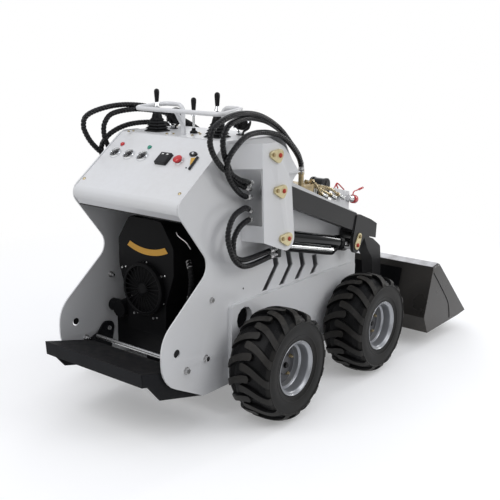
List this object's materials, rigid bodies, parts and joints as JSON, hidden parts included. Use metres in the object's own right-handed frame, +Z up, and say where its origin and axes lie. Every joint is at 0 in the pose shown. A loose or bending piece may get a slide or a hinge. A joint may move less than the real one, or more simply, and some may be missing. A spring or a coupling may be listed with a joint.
{
  "type": "mini skid steer loader",
  "caption": "Stand-on mini skid steer loader with wheels, twin lift arms, a front bucket and a folding rear platform.",
  "frame": {"origin": "on the ground, below the middle of the machine's bounding box", "axes": "+X forward to the bucket, +Y to the machine's left, +Z up"},
  "size_m": [2.1602, 1.12, 1.3],
  "materials": {
    "white_paint": "gloss, lightly scuffed",
    "dark_grey_paint": "satin",
    "black_paint": "satin",
    "bucket_paint": "worn satin, bare at the edges",
    "tyre_rubber": "matte",
    "silver_rim_paint": "satin metallic",
    "bright_steel": "polished rod, brushed fittings",
    "yellow_zinc": "zinc-plated fittings and valve bank",
    "black_plastic": "matte",
    "hose_rubber": "satin"
  },
  "bodies": {
    "chassis": {"axle_housing_front_left": "black_paint", "axle_housing_front_right": "black_paint", "axle_housing_rear_left": "black_paint", "axle_housing_rear_right": "black_paint", "belly_pan": "white_paint", "chain_case_left": "white_paint", "chain_case_right": "white_paint", "console": "white_paint", "control_lever_left": "black_plastic", "control_lever_middle": "black_plastic", "control_lever_right": "black_plastic", "coupler_bracket": "white_paint", "deck": "white_paint", "engine": "black_paint", "fan_cover": "black_paint", "handlebar": "white_paint", "hood": "white_paint", "hoses_left": "hose_rubber", "hoses_right": "hose_rubber", "side_plate_left": "white_paint", "side_plate_right": "white_paint", "tower_left": "white_paint", "tower_right": "white_paint", "valve_bank": "yellow_zinc", "work_lamp_left": "black_plastic", "work_lamp_right": "black_plastic"},
    "arms": {"arm_right": "dark_grey_paint", "arm_left": "dark_grey_paint", "arm_cross_tube": "dark_grey_paint"},
    "bucket": {"bucket": "bucket_paint", "quick_attach": "black_paint"},
    "platform": {"platform": "black_paint", "platform_rod": "bright_steel"},
    "tilt_barrel": {"tilt_barrel": "dark_grey_paint"},
    "tilt_rod": {"tilt_rod": "bright_steel"},
    "lift_barrel_right": {"lift_barrel_right": "dark_grey_paint"},
    "lift_rod_right": {"lift_rod_right": "bright_steel"},
    "lift_barrel_left": {"lift_barrel_left": "dark_grey_paint"},
    "lift_rod_left": {"lift_rod_left": "bright_steel"},
    "wheel_rear_right": {"rim_rear_right": "silver_rim_paint", "tyre_rear_right": "tyre_rubber"},
    "wheel_rear_left": {"rim_rear_left": "silver_rim_paint", "tyre_rear_left": "tyre_rubber"},
    "wheel_front_right": {"rim_front_right": "silver_rim_paint", "tyre_front_right": "tyre_rubber"},
    "wheel_front_left": {"rim_front_left": "silver_rim_paint", "tyre_front_left": "tyre_rubber"}
  },
  "joints": [
    {"name": "wheel_rear_right_spin", "type": "hinge", "parent": "chassis", "child": "wheel_rear_right", "pos_m": [-0.48344, -0.449, 0.2285], "axis": [0, 1, 0], "continuous": true},
    {"name": "wheel_rear_left_spin", "type": "hinge", "parent": "chassis", "child": "wheel_rear_left", "pos_m": [-0.48344, 0.449, 0.2285], "axis": [0, 1, 0], "continuous": true},
    {"name": "wheel_front_right_spin", "type": "hinge", "parent": "chassis", "child": "wheel_front_right", "pos_m": [0.19456, -0.449, 0.2285], "axis": [0, 1, 0], "continuous": true},
    {"name": "wheel_front_left_spin", "type": "hinge", "parent": "chassis", "child": "wheel_front_left", "pos_m": [0.19456, 0.449, 0.2285], "axis": [0, 1, 0], "continuous": true},
    {"name": "arm_lift", "type": "hinge", "parent": "chassis", "child": "arms", "pos_m": [-0.39394, 0, 0.917], "axis": [0, -1, 0], "range_deg": [-3, 75]},
    {"name": "lift_barrel_right_swing", "type": "hinge", "parent": "chassis", "child": "lift_barrel_right", "pos_m": [-0.35094, -0.335, 0.715], "axis": [0, -1, 0], "range_deg": [-3.5, 74]},
    {"name": "lift_rod_right_slide", "type": "slide", "parent": "lift_barrel_right", "child": "lift_rod_right", "axis": [0.973, 0, -0.2309], "range_m": [-0.012, 0.262]},
    {"name": "lift_barrel_left_swing", "type": "hinge", "parent": "chassis", "child": "lift_barrel_left", "pos_m": [-0.35094, 0.335, 0.715], "axis": [0, -1, 0], "range_deg": [-3.5, 74]},
    {"name": "lift_rod_left_slide", "type": "slide", "parent": "lift_barrel_left", "child": "lift_rod_left", "axis": [0.973, 0, -0.2309], "range_m": [-0.012, 0.262]},
    {"name": "bucket_tilt", "type": "hinge", "parent": "arms", "child": "bucket", "pos_m": [0.52806, 0, 0.17], "axis": [0, -1, 0], "range_deg": [-60, 15]},
    {"name": "tilt_barrel_swing", "type": "hinge", "parent": "arms", "child": "tilt_barrel", "pos_m": [0.46006, 0, 0.8], "axis": [0, -1, 0], "range_deg": [-3.5, 13]},
    {"name": "tilt_rod_slide", "type": "slide", "parent": "tilt_barrel", "child": "tilt_rod", "axis": [0.2534, 0, -0.9674], "range_m": [-0.04, 0.158]},
    {"name": "platform_fold", "type": "hinge", "parent": "chassis", "child": "platform", "pos_m": [-0.74194, 0, 0.286], "axis": [0, 1, 0], "range_deg": [0, 70]}
  ],
  "couplings": [
    {"joint": "lift_barrel_right_swing", "follows": "arm_lift", "ratio": 0.975},
    {"joint": "lift_rod_right_slide", "follows": "arm_lift", "m_per_rad": 0.1975},
    {"joint": "lift_barrel_left_swing", "follows": "arm_lift", "ratio": 0.975},
    {"joint": "lift_rod_left_slide", "follows": "arm_lift", "m_per_rad": 0.1975},
    {"joint": "tilt_barrel_swing", "follows": "bucket_tilt", "ratio": -0.21},
    {"joint": "tilt_rod_slide", "follows": "bucket_tilt", "m_per_rad": -0.15}
  ]
}
